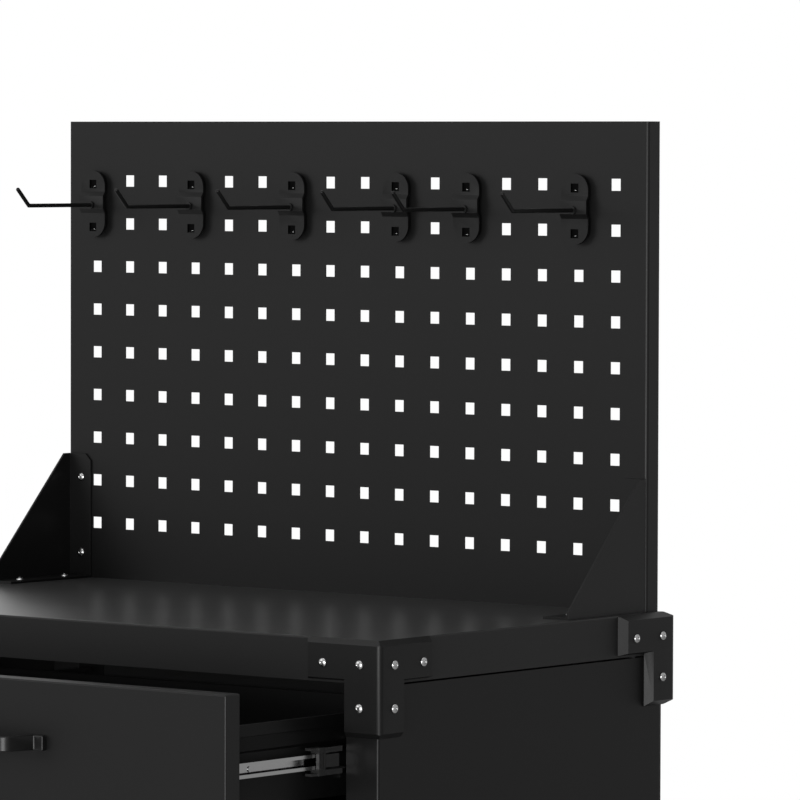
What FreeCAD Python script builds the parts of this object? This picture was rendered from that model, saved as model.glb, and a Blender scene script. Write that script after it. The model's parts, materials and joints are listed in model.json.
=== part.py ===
import FreeCAD, Part
import math
import os

# Rolling tool cabinet in folded sheet steel, all sizes in millimetres.
# X runs to the right seen from the front, Y runs from front to back, Z is up.
# The origin lies on the floor, in the middle of the outline with the top drawer open.

# Work top
top_width = 646.0
top_depth = 379.7
top_height = 690.0
lip_height = 34.7
top_sheet = 1.0
top_edge_radius = 1.6
lip_return = 14.0

# Cabinet shell
shell_inset = 1.0
shell_sheet = 1.2
shell_bend = 0.8
shadow_gap = 1.6
face_width = 32.0
rear_return = 20.0
shell_top_flange = 14.0
base_height = 128.0
base_sheet = 2.0
base_rail_height = 30.0
base_rail_return = 12.0
base_corner = 3.0
post_sheet = 1.5
post_depth = 33.0
post_air = 1.0

# Perforated back panel
panel_width = 636.0
panel_height = 405.8
panel_sheet = 1.2
panel_flange = 18.0
panel_return = 10.0
panel_setback = 361.7
panel_bend = 1.4
hole_pitch = 38.0
hole_size = 10.0
hole_columns = 16
hole_rows = 9
top_margin = 52.5

# Gussets between the panel and the work top
gusset_sheet = 2.0
gusset_inset = 0.6
gusset_foot = 107.0
gusset_rise = 110.3
gusset_blunt_top = 8.0
gusset_blunt_foot = 6.0
gusset_flange = 26.0
gusset_clearance = 1.2
gusset_chamfer = 6.0
gusset_lap = 0.5
gusset_screw_inset = 15.4
gusset_rises = [22.0, 89.3]
gusset_reaches = [25.0, 84.0]
flange_screw_x = [95.0, 225.0]

# Corner guards
guard_thickness = 7.0
guard_front_arm = 78.0
guard_side_arm = 71.5
guard_front_leg = 40.0
guard_side_leg = 34.5
guard_leg_length = 77.0
guard_arm_height = 33.0
guard_top_slope = 3.8
guard_end_slope = 5.5
guard_side_slope = 4.2
guard_foot_slope = 4.6
guard_under_slope = 2.0
guard_corner_radius = 4.5

# Button head screws
screw_head_radius = 3.7
screw_head_height = 2.2
screw_crown_radius = 2.6
screw_rim_height = 1.1
screw_radius = 2.0
screw_hole_clearance = 0.05
socket_radius = 1.3
socket_depth = 1.2
screw_pitch = 36.7
screw_drop = 19.1
screw_leg_drop = 53.2
screw_front_edge = 20.6
screw_side_edge = 18.0
screw_grip = 5.5

# Hooks on the panel: columns counted from the right hand end
hook_columns = [1, 4, 6, 9, 12, 15]
hook_plate_width = 27.5
hook_plate_height = 58.7
hook_plate_above_row = 8.8
hook_sheet = 2.0
hook_stand_off = 4.0
hook_bow = 2.5
hook_bow_half = 5.0
hook_bow_run = 4.0
hook_window_width = 8.0
hook_window_height = 7.5
hook_window_drop = 2.9
hook_tab_width = 7.6
hook_tab_height = 7.7
hook_tab_drop = 6.0
hook_play = 0.3
hook_rod_radius = 1.75
hook_rod_drop = 21.5
hook_rod_reach = 91.0
hook_tip_length = 20.0
hook_tip_angle = 45.0
hook_collar_radius = 3.4
hook_collar_length = 1.6

# Drawers: shallow ones counted from the top, then one deep drawer down to the base rail
shallow_fronts = 3
shallow_height = 97.0
rail_overlap = 3.0
front_gap = 3.0
front_top_drop = 34.1
front_side_gap = 2.2
front_depth = 16.5
front_sheet = 1.2
front_back_flange = 14.0
front_edge_radius = 1.4
front_air = 0.5
slide_space = 12.5
box_sheet = 1.2
box_length = 343.0
box_top_drop = 25.6
box_foot_rise = 6.4
box_hem_height = 9.5
box_hem_step = 1.4
box_bulge = 1.8
box_jog_height = 1.8
drawer_open = 126.3

# Three member slides
slide_rise = 30.1
slide_length = 336.0
slide_setback = 12.0
slide_sheet = 1.2
outer_member_height = 32.0
outer_member_lip = 9.5
outer_member_hem = 3.0
middle_member_height = 21.8
middle_member_depth = 8.4
middle_member_length = 300.0
middle_member_setback = 40.0
middle_track = 4.2
middle_web_step = 1.6
inner_member_height = 12.0
inner_member_depth = 7.0
inner_member_hem = 2.8
member_air = 0.8
bulge_over_slide = 12.6
rivet_radius = 2.4
rivet_height = 0.7
rivet_from_end = 22.0
cage_air = 0.3
cage_length = 70.0
nose_length = 8.0
nose_height = 22.0
nose_rib = 1.6
nose_prong = 7.0
nose_prong_height = 2.0

# Bow handles
pull_width = 192.0
pull_reach = 32.0
pull_thickness = 5.0
pull_height = 12.0
pull_slant = 8.0
pull_bend = 9.0
pull_foot = 9.0
pull_centre_drop = 48.5

# Casters
wheel_radius = 50.0
wheel_width = 32.0
wheel_shoulder = 5.0
tread_crown = 1.2
tread_step = 2.6
rim_radius = 40.0
rim_inner_radius = 34.0
rim_width = 28.0
web_width = 10.0
hub_radius = 12.0
axle_radius = 4.0
running_clearance = 0.05
side_clearance = 0.6
caster_from_end = 82.0
caster_from_front = 70.0
caster_trail = 32.0
fork_sheet = 3.0
fork_inner_half = 19.5
plate_length = 95.0
plate_width = 75.0
plate_thickness = 4.0
plate_corner = 6.0
bolt_spacing_x = 75.0
bolt_spacing_y = 55.0
bolt_radius = 3.9
bolt_hole_radius = 4.2
hex_flats = 13.0
hex_height = 5.3
nut_height = 6.5
thread_past_nut = 1.0
race_radius = 29.0
race_height = 11.7
race_air = 0.3
crown_thickness = 4.0
kingpin_radius = 6.0
kingpin_head_radius = 9.5
kingpin_head_height = 3.5
race_chamfer = 4.0
race_shoulder = 2.0
fork_front_reach = 26.0
fork_rear_reach = 46.0
boss_radius = 10.0
boss_rounding = 8.0
fork_cheek_height = 14.0
pedal_pin_radius = 2.5
pedal_barrel_radius = 4.2
pedal_pivot_x = -40.0
pedal_pivot_z = 105.3
pedal_sheet = 3.0
pedal_length = 58.0
pedal_half_width = 23.0
pedal_neck_half = 18.8
pedal_slope = 15.0
pedal_knee = 10.0
pedal_lip_length = 5.0
pedal_lip_rise = 3.0
pedal_pin_end = 1.5
shoe_half_width = 8.0
shoe_depth = 3.0
shoe_length = 8.0

# Places worked out from the sizes
half_top = top_width / 2
shell_half = half_top - shell_inset
rear_reach = top_depth + guard_thickness + screw_head_height
front_reach = front_air + front_depth + drawer_open + pull_reach
front_y = (front_reach - rear_reach) / 2
rear_y = front_y + top_depth
panel_y = front_y + panel_setback
lip_bottom = top_height - lip_height
shell_front = front_y + shell_inset
shell_rear = rear_y - shell_inset
shell_top = lip_bottom - shadow_gap
opening_half = shell_half - face_width
box_half_width = opening_half - slide_space
front_half = opening_half - front_side_gap
post_front = shell_front + shell_sheet
post_rear = shell_rear - 2 * shell_sheet
base_top = base_height + base_sheet
panel_top = top_height + panel_height
first_row = panel_top - top_margin
first_column = (hole_columns - 1) / 2 * hole_pitch
plate_bottom = base_height - plate_thickness


def vec(axis, a, b, c):
    """Point with coordinates a, b across the axis and c along it."""
    order = {"X": (c, a, b), "Y": (a, c, b), "Z": (a, b, c)}
    return FreeCAD.Vector(*order[axis])


def box(x0, x1, y0, y1, z0, z1):
    return Part.makeBox(x1 - x0, y1 - y0, z1 - z0, FreeCAD.Vector(x0, y0, z0))


def rod(radius, length, base, direction):
    return Part.makeCylinder(radius, length, FreeCAD.Vector(*base), FreeCAD.Vector(*direction))


def fuse(shapes):
    shapes = list(shapes)
    if len(shapes) == 1:
        return shapes[0]
    return shapes[0].multiFuse(shapes[1:]).removeSplitter()


def cut(shape, tools):
    return shape.cut(Part.makeCompound(list(tools))).removeSplitter()


def mirrored(shape):
    """The same piece at the other end of the cabinet."""
    return shape.mirror(FreeCAD.Vector(0, 0, 0), FreeCAD.Vector(1, 0, 0))


def outline(points, axis, level):
    """Closed wire through points (a, b) or (a, b, radius), rounded where a radius is given."""
    corners = [p if len(p) == 3 else (p[0], p[1], 0.0) for p in points]
    edges = []
    tangents = []
    count = len(corners)
    for i, (a, b, radius) in enumerate(corners):
        before = corners[i - 1]
        after = corners[(i + 1) % count]
        here = FreeCAD.Vector(a, b, 0)
        back = (FreeCAD.Vector(before[0], before[1], 0) - here).normalize()
        ahead = (FreeCAD.Vector(after[0], after[1], 0) - here).normalize()
        if radius <= 0:
            tangents.append((here, here, None))
            continue
        half_angle = back.getAngle(ahead) / 2
        run = radius / math.tan(half_angle)
        middle = (back + ahead).normalize()
        centre = here + middle * (radius / math.sin(half_angle))
        crown = centre - middle * radius
        tangents.append((here + back * run, here + ahead * run, crown))
    for i, (start, end, crown) in enumerate(tangents):
        if crown is not None:
            arc = [vec(axis, p.x, p.y, level) for p in (start, crown, end)]
            edges.append(Part.Arc(*arc).toShape())
        following = tangents[(i + 1) % count][0]
        if (following - end).Length > 1e-6:
            line = [vec(axis, p.x, p.y, level) for p in (end, following)]
            edges.append(Part.LineSegment(*line).toShape())
    return Part.Wire(edges)


def prism(points, axis, low, high):
    """Solid with the given outline, from low to high along the axis."""
    face = Part.Face(outline(points, axis, low))
    return face.extrude(vec(axis, 0, 0, high - low))


def folded(points, thickness, bend=0.0):
    """Outline of a sheet folded along a run of points, its thickness laid to the left."""
    normals = []
    for (a0, b0), (a1, b1) in zip(points, points[1:]):
        length = math.hypot(a1 - a0, b1 - b0)
        normals.append((-(b1 - b0) / length, (a1 - a0) / length))
    run = []
    inner = []
    for i, (a, b) in enumerate(points):
        if i == 0 or i == len(points) - 1:
            n = normals[0] if i == 0 else normals[-1]
            run.append((a, b))
            inner.append((a + thickness * n[0], b + thickness * n[1]))
            continue
        n, m = normals[i - 1], normals[i]
        scale = thickness / (1 + n[0] * m[0] + n[1] * m[1])
        left_turn = n[0] * m[1] - n[1] * m[0] > 0
        run.append((a, b, bend + thickness if left_turn and bend else bend))
        left_radius = bend if left_turn or not bend else bend + thickness
        inner.append((a + scale * (n[0] + m[0]), b + scale * (n[1] + m[1]), left_radius))
    return run + inner[::-1]


def revolved(profile, base, direction, reference):
    """Solid turned from a profile of (radius, distance) points about a line."""
    base = FreeCAD.Vector(*base)
    direction = FreeCAD.Vector(*direction)
    reference = FreeCAD.Vector(*reference)
    points = [base + reference * r + direction * d for r, d in profile]
    wire = Part.makePolygon(points + [points[0]])
    return Part.Face(wire).revolve(base, direction, 360)


def hexagon(flats, height, base, direction, reference):
    """Hexagonal prism standing on base."""
    direction = FreeCAD.Vector(*direction)
    reference = FreeCAD.Vector(*reference)
    across = direction.cross(reference)
    corner = flats / math.sqrt(3)
    points = []
    for i in range(7):
        angle = math.radians(60 * i)
        points.append(FreeCAD.Vector(*base) + reference * (corner * math.cos(angle))
                      + across * (corner * math.sin(angle)))
    return Part.Face(Part.makePolygon(points)).extrude(direction * height)


# Work top: a pressed pan with lips turned down and a return along each lip
def work_top():
    outer = box(-half_top, half_top, front_y, rear_y, lip_bottom, top_height)
    rounded = [e for e in outer.Edges if max(v.Z for v in e.Vertexes) > lip_bottom + 0.1]
    outer = outer.makeFillet(top_edge_radius, rounded)
    inside = box(-half_top + top_sheet, half_top - top_sheet, front_y + top_sheet, rear_y - top_sheet,
                 lip_bottom - 1, top_height - top_sheet)
    pan = outer.cut(inside)
    fold_half = opening_half - shell_bend
    low, high = lip_bottom, lip_bottom + top_sheet
    y0, y1 = front_y + top_sheet / 2, rear_y - top_sheet / 2
    front_fold = box(-fold_half, fold_half, y0, y0 + lip_return, low, high)
    rear_fold = box(-fold_half, fold_half, y1 - lip_return, y1, low, high)
    return fuse([pan, front_fold, rear_fold])


# Cabinet shell
def side_panel():
    """Right hand side: one sheet with the visible corner face, a rear return and a top flange."""
    inner_rear = shell_rear - shell_sheet
    run = [(opening_half, shell_front), (shell_half, shell_front), (shell_half, inner_rear),
           (shell_half - rear_return, inner_rear)]
    wall = prism(folded(run, shell_sheet, shell_bend), "Z", base_height, shell_top)
    flange = box(shell_half - shell_top_flange, shell_half - shell_sheet / 2,
                 post_front + post_depth + 1, post_rear - post_depth - 1,
                 shell_top - shell_sheet, shell_top)
    return fuse([wall, flange])


def corner_post(front):
    """Channel inside a right hand corner, from the base floor to the underside of the work top."""
    outer_x = shell_half - shell_sheet - post_air
    start = post_front if front else post_rear - post_depth
    end = start + post_depth
    run = [(outer_x, end), (opening_half, end), (opening_half, start), (outer_x, start)]
    return prism(folded(run, post_sheet), "Z", base_top, top_height - top_sheet)


def rear_panel():
    half = shell_half - shell_bend
    plate = box(-half, half, shell_rear - shell_sheet, shell_rear, base_height, shell_top)
    fold_half = opening_half - 1
    fold = box(-fold_half, fold_half, shell_rear - shell_top_flange, shell_rear - shell_sheet / 2,
               shell_top - shell_sheet, shell_top)
    return fuse([plate, fold])


def base_pan():
    """Floor with a front rail that closes the opening below the drawers and a rear upstand."""
    floor_half = shell_half - shell_sheet
    corners = [(-floor_half, post_front, base_corner), (floor_half, post_front, base_corner),
               (floor_half, post_rear, base_corner), (-floor_half, post_rear, base_corner)]
    floor = prism(corners, "Z", base_height, base_top)
    rail_top = base_height + base_rail_height
    run = [(shell_front + base_rail_return, rail_top), (shell_front, rail_top),
           (shell_front, base_height), (post_rear, base_height), (post_rear, rail_top)]
    rail = prism(folded(run, base_sheet), "X", -opening_half + front_air, opening_half - front_air)
    return fuse([floor, rail])


# Perforated back panel
def back_panel():
    half = panel_width / 2
    rear = panel_y + panel_flange
    run = [(-half + panel_return, rear), (-half, rear), (-half, panel_y), (half, panel_y), (half, rear),
           (half - panel_return, rear)]
    sheet = prism(folded(run, panel_sheet, panel_bend), "Z", top_height, panel_top)
    inner = half - panel_sheet - 0.2
    folds = [box(-inner, inner, panel_y + panel_sheet / 2, rear - panel_sheet - 0.2,
                 level, level + panel_sheet) for level in (top_height, panel_top - panel_sheet)]
    holes = []
    for column in range(hole_columns):
        x = first_column - column * hole_pitch
        for row in range(hole_rows):
            z = first_row - row * hole_pitch
            holes.append(box(x - hole_size / 2, x + hole_size / 2, panel_y - 1, panel_y + panel_sheet + 1,
                             z - hole_size / 2, z + hole_size / 2))
    return cut(fuse([sheet] + folds), holes)


# Gussets
gusset_face = panel_width / 2 - gusset_inset
gusset_rear = panel_y - gusset_clearance
gusset_screw_x = gusset_face - gusset_screw_inset


def gusset():
    """Right hand gusset: a triangular web with one flange on the panel and one on the work top."""
    low = top_height
    high = low + gusset_rise
    tip = panel_y - gusset_foot
    near = gusset_face - gusset_flange
    far = gusset_face - gusset_lap
    web_points = [(gusset_rear, low), (gusset_rear, high), (gusset_rear - gusset_blunt_top, high),
                  (tip, low + gusset_blunt_foot), (tip, low)]
    web = prism(web_points, "X", gusset_face - gusset_sheet, gusset_face)
    rear_points = [(far, low), (far, high), (near + gusset_chamfer, high), (near, high - gusset_chamfer),
                   (near, low)]
    rear = prism(rear_points, "Y", panel_y - gusset_sheet, panel_y)
    foot = box(near, far, tip, panel_y - gusset_sheet / 2, low, low + gusset_sheet)
    return cut(fuse([web, rear, foot]), panel_drills())


def panel_screw_places():
    """Head seats and outward directions at the right hand end: gusset, then the panel's foot."""
    seat_y = panel_y - gusset_sheet
    places = [((gusset_screw_x, seat_y, top_height + rise), (0, -1, 0)) for rise in gusset_rises]
    places += [((gusset_screw_x, panel_y - reach, top_height + gusset_sheet), (0, 0, 1))
               for reach in gusset_reaches]
    flange_y = panel_y + panel_flange / 2
    places += [((x, flange_y, top_height + panel_sheet), (0, 0, 1)) for x in flange_screw_x]
    return places


def panel_drills():
    drills = []
    for place, outward in panel_screw_places():
        start = FreeCAD.Vector(*place) + FreeCAD.Vector(*outward)
        inward = FreeCAD.Vector(*outward) * -1
        drills.append(Part.makeCylinder(screw_radius + screw_hole_clearance, screw_grip + 1, start, inward))
    return drills


def both_sides(shapes):
    shapes = list(shapes)
    return shapes + [mirrored(shape) for shape in shapes]


# Corner guards
def guard_plate(arm, leg, side):
    """One bevelled T face of a guard, as (a, z) outlines on the lip plane and on the outer plane.

    The distance a is measured from the corner of the work top, towards the arm's end.
    """
    t = guard_thickness
    top = top_height
    foot = top_height - guard_leg_length
    under = top_height - guard_arm_height
    arm_end = arm - t
    leg_end = leg - t
    seat = [(0, top), (arm_end, top), (arm_end, under), (leg_end, under), (leg_end, foot), (0, foot)]
    face = [(-t, top - guard_top_slope), (arm_end - guard_end_slope, top - guard_top_slope),
            (arm_end - guard_end_slope, under + guard_under_slope),
            (leg_end - side, under + guard_under_slope), (leg_end - side, foot + guard_foot_slope),
            (-t, foot + guard_foot_slope)]
    return seat, face


def guard_loft(seat, face, place):
    """Bevelled plate between its seat outline and its outer outline."""
    rings = []
    for outline_points, level in ((seat, 0.0), (face, guard_thickness)):
        corners = [FreeCAD.Vector(*place(a, level, z)) for a, z in outline_points]
        rings.append(Part.makePolygon(corners + corners[:1]))
    return Part.makeLoft(rings, True, True)


def guard_body():
    """Guard at the front right corner, before its screw holes."""
    front_seat, front_face = guard_plate(guard_front_arm, guard_front_leg, guard_side_slope)
    side_seat, side_face = guard_plate(guard_side_arm, guard_side_leg, guard_side_slope)
    front_plate = guard_loft(front_seat, front_face, lambda a, level, z: (half_top - a, front_y - level, z))
    side_plate = guard_loft(side_seat, side_face, lambda a, level, z: (half_top + level, front_y + a, z))
    foot = top_height - guard_leg_length
    front_pad = box(half_top - guard_front_leg + guard_thickness, half_top, front_y, shell_front,
                    foot, lip_bottom)
    side_pad = box(shell_half, half_top, front_y, front_y + guard_side_leg - guard_thickness,
                   foot, lip_bottom)
    body = fuse([front_plate, side_plate, front_pad, side_pad])
    corner_x = half_top + guard_thickness
    corner_y = front_y - guard_thickness
    edges = [e for e in body.Edges if all(abs(v.X - corner_x) < 1e-3 and abs(v.Y - corner_y) < 1e-3
                                          for v in e.Vertexes)]
    return body.makeFillet(guard_corner_radius, edges)


def guard_screw_places():
    """Head seats and outward directions of the six screws of the front right guard."""
    upper = top_height - screw_drop
    lower = top_height - screw_leg_drop
    x = half_top + guard_thickness - screw_front_edge
    y = front_y - guard_thickness + screw_side_edge
    front = front_y - guard_thickness
    side = half_top + guard_thickness
    places = [((x, front, upper), (0, -1, 0)), ((x - screw_pitch, front, upper), (0, -1, 0)),
              ((x, front, lower), (0, -1, 0)), ((side, y, upper), (1, 0, 0)),
              ((side, y + screw_pitch, upper), (1, 0, 0)), ((side, y, lower), (1, 0, 0))]
    return places


def guard_drills():
    """Holes that run through the guard, the lip and the sheets of the shell behind it."""
    drills = []
    for place, outward in guard_screw_places():
        start = FreeCAD.Vector(*place) + FreeCAD.Vector(*outward)
        inward = FreeCAD.Vector(*outward) * -1
        depth = guard_thickness + screw_grip + 2
        drills.append(Part.makeCylinder(screw_radius + screw_hole_clearance, depth, start, inward))
    return drills


def all_guard_drills():
    corners = [(front, right) for front in (True, False) for right in (True, False)]
    return [to_corner(drill, *corner) for corner in corners for drill in guard_drills()]


def corner_guard(front, right):
    """A guard turned and mirrored to its own corner, with its screw holes."""
    return to_corner(cut(guard_body(), guard_drills()), front, right)


def to_corner(shape, front, right):
    """Reflect a shape from the front right corner to another corner of the work top."""
    if not front:
        shape = shape.mirror(FreeCAD.Vector(0, (front_y + rear_y) / 2, 0), FreeCAD.Vector(0, 1, 0))
    if not right:
        shape = mirrored(shape)
    return shape


# Screws
def button_screw(length, seat, outward):
    """Button head screw with its head standing outward from the seat."""
    outward = FreeCAD.Vector(*outward)
    reference = FreeCAD.Vector(0, 0, 1) if abs(outward.z) < 0.5 else FreeCAD.Vector(1, 0, 0)
    profile = [(0, -length), (screw_radius, -length), (screw_radius, 0), (screw_head_radius, 0),
               (screw_head_radius, screw_rim_height), (screw_crown_radius, screw_head_height),
               (0, screw_head_height)]
    body = revolved(profile, seat, outward, reference)
    top = FreeCAD.Vector(*seat) + outward * (screw_head_height - socket_depth)
    socket = hexagon(2 * socket_radius, socket_depth + 1, top, outward, reference)
    return body.cut(socket)


def guard_screws():
    reach = guard_thickness + screw_grip
    screws = [button_screw(reach, place, outward) for place, outward in guard_screw_places()]
    corners = [(front, right) for front in (True, False) for right in (True, False)]
    return Part.makeCompound([to_corner(s, *corner) for corner in corners for s in screws])


def panel_screws():
    screws = [button_screw(screw_grip, place, outward) for place, outward in panel_screw_places()]
    return Part.makeCompound(both_sides(screws))


# Hooks
def hook_blank(x, bottom, top, front, back):
    """Outline of a hook plate with its rounded ends, as a solid that trims the folded strip."""
    half = hook_plate_width / 2
    rounding = half - 0.5
    corners = [(x - half, bottom, rounding), (x + half, bottom, rounding), (x + half, top, rounding),
               (x - half, top, rounding)]
    return prism(corners, "Y", front, back)


def hook(column):
    """Hook plate with two tabs bent back through the perforation and a rod with a raised tip."""
    x = first_column - column * hole_pitch
    top = first_row + hook_plate_above_row
    bottom = top - hook_plate_height
    half = hook_plate_width / 2
    face = panel_y - hook_stand_off
    middle = first_row - hole_pitch / 2
    ramp = hook_bow_half + hook_bow_run
    run = [(face, bottom), (face, middle - ramp), (face - hook_bow, middle - hook_bow_half),
           (face - hook_bow, middle + hook_bow_half), (face, middle + ramp), (face, top)]
    strip = prism(folded(run, hook_sheet), "X", x - half, x + half)
    plate = strip.common(hook_blank(x, bottom, top, face - hook_bow - hook_sheet - 1, face + 1))
    windows = []
    tabs = []
    for row in (0, 1):
        z = first_row - row * hole_pitch
        seat = z - hole_size / 2 + hook_play
        behind = panel_y + panel_sheet + hook_play
        wide = hook_tab_width / 2
        sill = z - hook_window_drop - hook_window_height / 2
        windows.append(box(x - hook_window_width / 2, x + hook_window_width / 2, face - hook_sheet - 1,
                           face + 1, sill, sill + hook_window_height))
        tongue = box(x - wide, x + wide, face - hook_sheet / 4, behind + hook_sheet, seat,
                     seat + hook_tab_height)
        tail = box(x - wide, x + wide, behind, behind + hook_sheet, seat - hook_tab_drop,
                   seat + hook_tab_height)
        tabs += [tongue, tail]
    rod_z = first_row - hook_rod_drop
    rod_start = face - hook_bow - hook_sheet / 2
    elbow = (x, panel_y - hook_rod_reach, rod_z)
    angle = math.radians(hook_tip_angle)
    rise = (0, -math.cos(angle), math.sin(angle))
    straight = rod(hook_rod_radius, rod_start - elbow[1], elbow, (0, 1, 0))
    tip = rod(hook_rod_radius, hook_tip_length, elbow, rise)
    tip_end = FreeCAD.Vector(*elbow) + FreeCAD.Vector(*rise) * hook_tip_length
    balls = [Part.makeSphere(hook_rod_radius, centre) for centre in (FreeCAD.Vector(*elbow), tip_end)]
    collar_y = face - hook_bow - hook_sheet - hook_collar_length
    collar = rod(hook_collar_radius, hook_collar_length + hook_sheet / 2, (x, collar_y, rod_z), (0, 1, 0))
    return fuse([plate.cut(Part.makeCompound(windows))] + tabs + [straight, tip, collar] + balls)


# Drawers
front_back_y = front_y - front_air
drawer_numbers = range(1, shallow_fronts + 2)


def front_top(number):
    """Height of a drawer front's upper edge."""
    return top_height - front_top_drop - (number - 1) * (shallow_height + front_gap)


def front_bottom(number):
    """Lower edge of a front: the deep one ends a little below the top of the base rail."""
    if number <= shallow_fronts:
        return front_top(number) - shallow_height
    return base_height + base_rail_height - rail_overlap


def drawer_shift(number):
    return -drawer_open if number == 1 else 0.0


def box_bottom(number):
    return front_bottom(number) + box_foot_rise


def slide_level(number):
    return box_bottom(number) + slide_rise


def drawer_front(number):
    """Hollow front folded from one sheet, open at the back between its flanges."""
    top = front_top(number)
    bottom = front_bottom(number)
    half = front_half
    face = front_back_y - front_depth
    outer = box(-half, half, face, front_back_y, bottom, top)
    rounded = [e for e in outer.Edges if min(v.Y for v in e.Vertexes) < face + 0.1]
    outer = outer.makeFillet(front_edge_radius, rounded)
    s = front_sheet
    hollow = box(-half + s, half - s, face + s, front_back_y - s, bottom + s, top - s)
    mouth = box(-half + front_back_flange, half - front_back_flange, front_back_y - s - 1, front_back_y + 1,
                bottom + front_back_flange, top - front_back_flange)
    return outer.cut(hollow).cut(mouth)


def drawer_box(number):
    """Tray whose sides step out above the slide and end in an outward hem."""
    top = front_top(number) - box_top_drop
    bottom = box_bottom(number)
    s = box_sheet
    y0 = front_back_y
    y1 = front_back_y + box_length
    jog = slide_level(number) + bulge_over_slide
    wall = box_half_width
    bulged = wall + box_bulge
    hem = bulged + box_hem_step
    profile = [(wall, bottom), (wall, jog), (bulged, jog + box_jog_height), (bulged, top - box_hem_height),
               (hem, top - box_hem_height), (hem, top), (bulged - s, top), (bulged - s, jog + box_jog_height),
               (wall - s, jog), (wall - s, bottom)]
    side = prism(profile, "Y", y0, y1)
    floor = box(-wall, wall, y0, y1, bottom, bottom + s)
    inner = wall - s / 2
    front_wall = box(-inner, inner, y0, y0 + s, bottom, top - box_hem_height)
    back_wall = box(-inner, inner, y1 - s, y1, bottom, top - box_hem_height)
    return fuse([floor, side, mirrored(side), front_wall, back_wall])


def drawer_pull(number):
    """Flat bow handle with two feet on the front."""
    z = front_top(number) - pull_centre_drop
    face = front_back_y - front_depth
    half = pull_width / 2
    reach = face - pull_reach
    foot = pull_foot
    run = [(-half - foot, face - pull_thickness), (-half, face - pull_thickness), (-half + pull_slant, reach),
           (half - pull_slant, reach), (half, face - pull_thickness), (half + foot, face - pull_thickness)]
    shape = folded(run, pull_thickness)
    rounded = []
    for i, point in enumerate(shape):
        radius = 0.0
        if i in (2, 3):
            radius = pull_bend
        if i in (8, 9):
            radius = pull_bend - pull_thickness
        rounded.append((point[0], point[1], radius))
    return prism(rounded, "Z", z - pull_height / 2, z + pull_height / 2)


# Slides: cabinet member, middle member and drawer member nest inside each other
slide_x = opening_half
member_front = front_y + shell_inset + slide_setback
middle_front = front_y + shell_inset + middle_member_setback
middle_web_x = slide_x - slide_sheet - member_air
middle_near_x = middle_web_x - middle_member_depth


def cabinet_member(number):
    """Outer channel of the right hand slide, its lips turned in over the middle member's balls."""
    level = slide_level(number)
    half = outer_member_height / 2
    near = slide_x - outer_member_lip
    hem = half - outer_member_hem
    run = [(near, level - hem), (near, level - half), (slide_x, level - half), (slide_x, level + half),
           (near, level + half), (near, level + hem)]
    return prism(folded(run, slide_sheet), "Y", member_front, member_front + slide_length)


def middle_member(number):
    """Middle channel with a web pressed in between its two ball tracks."""
    level = slide_level(number)
    half = middle_member_height / 2
    track = half - middle_track
    sunk = middle_web_x - middle_web_step
    flat = track - middle_web_step
    run = [(middle_near_x, level - half), (middle_web_x, level - half), (middle_web_x, level - track),
           (sunk, level - flat), (sunk, level + flat), (middle_web_x, level + track),
           (middle_web_x, level + half), (middle_near_x, level + half)]
    return prism(folded(run, slide_sheet), "Y", middle_front, middle_front + middle_member_length)


def drawer_member(number):
    """Inner channel riveted to the tray, with its ball tracks turned outward and hemmed."""
    level = slide_level(number)
    half = inner_member_height / 2
    far = box_half_width + inner_member_depth
    hem = half - inner_member_hem
    start = front_back_y + 1
    run = [(far, level + hem), (far, level + half), (box_half_width, level + half),
           (box_half_width, level - half), (far, level - half), (far, level - hem)]
    body = prism(folded(run, slide_sheet), "Y", start, start + slide_length)
    places = (rivet_from_end, slide_length / 2, slide_length - rivet_from_end)
    rivets = [rod(rivet_radius, rivet_height, (box_half_width + slide_sheet, start + at, level), (1, 0, 0))
              for at in places]
    return fuse([body] + rivets)


def ball_strip(x0, x1, y0, y1, level, low, high):
    """Strip that holds a row of balls, between two heights measured from the slide's middle."""
    bottom, top = sorted((level + low, level + high))
    return box(x0, x1, y0, y1, bottom, top)


def ball_cage(number):
    """Moulded nose at the middle member's front end and the strips that hold the balls."""
    level = slide_level(number)
    nose_front = middle_front - nose_length
    inner_low = inner_member_height / 2 + cage_air
    inner_high = middle_member_height / 2 - slide_sheet - cage_air
    outer_low = middle_member_height / 2 + cage_air
    outer_high = outer_member_height / 2 - slide_sheet - cage_air
    inner_x = middle_web_x - slide_sheet - cage_air
    strip_x = slide_x - outer_member_lip + slide_sheet + cage_air
    track_end = middle_front + middle_member_length
    half = nose_height / 2
    nose = box(middle_near_x, middle_web_x, nose_front, middle_front, level - half, level + half)
    mouth = box(middle_near_x - 1, inner_x - nose_rib, nose_front - 1, middle_front + 1,
                level - inner_low, level + inner_low)
    groove_half = half - middle_track
    grooves = [box(middle_web_x - 1, middle_web_x + 1, nose_front + at, nose_front + at + nose_rib,
                   level - groove_half, level + groove_half) for at in (nose_rib, nose_length - 2 * nose_rib)]
    nose = cut(nose, [mouth] + grooves)
    outer_strips = []
    inner_parts = [nose]
    for sign in (-1, 1):
        outer_strips.append(ball_strip(strip_x, middle_web_x - slide_sheet, track_end - cage_length,
                                       track_end, level, sign * outer_low, sign * outer_high))
        inner_parts.append(ball_strip(middle_near_x, inner_x - middle_web_step, middle_front - 1,
                                      middle_front + cage_length, level, sign * inner_low,
                                      sign * inner_high))
        inner_parts.append(ball_strip(middle_near_x, middle_web_x - middle_web_step, nose_front - nose_prong,
                                      nose_front + 1, level, sign * (half - nose_prong_height), sign * half))
    return Part.makeCompound([fuse(inner_parts)] + outer_strips)


def pair(shape):
    return Part.makeCompound([shape, mirrored(shape)])


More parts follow.
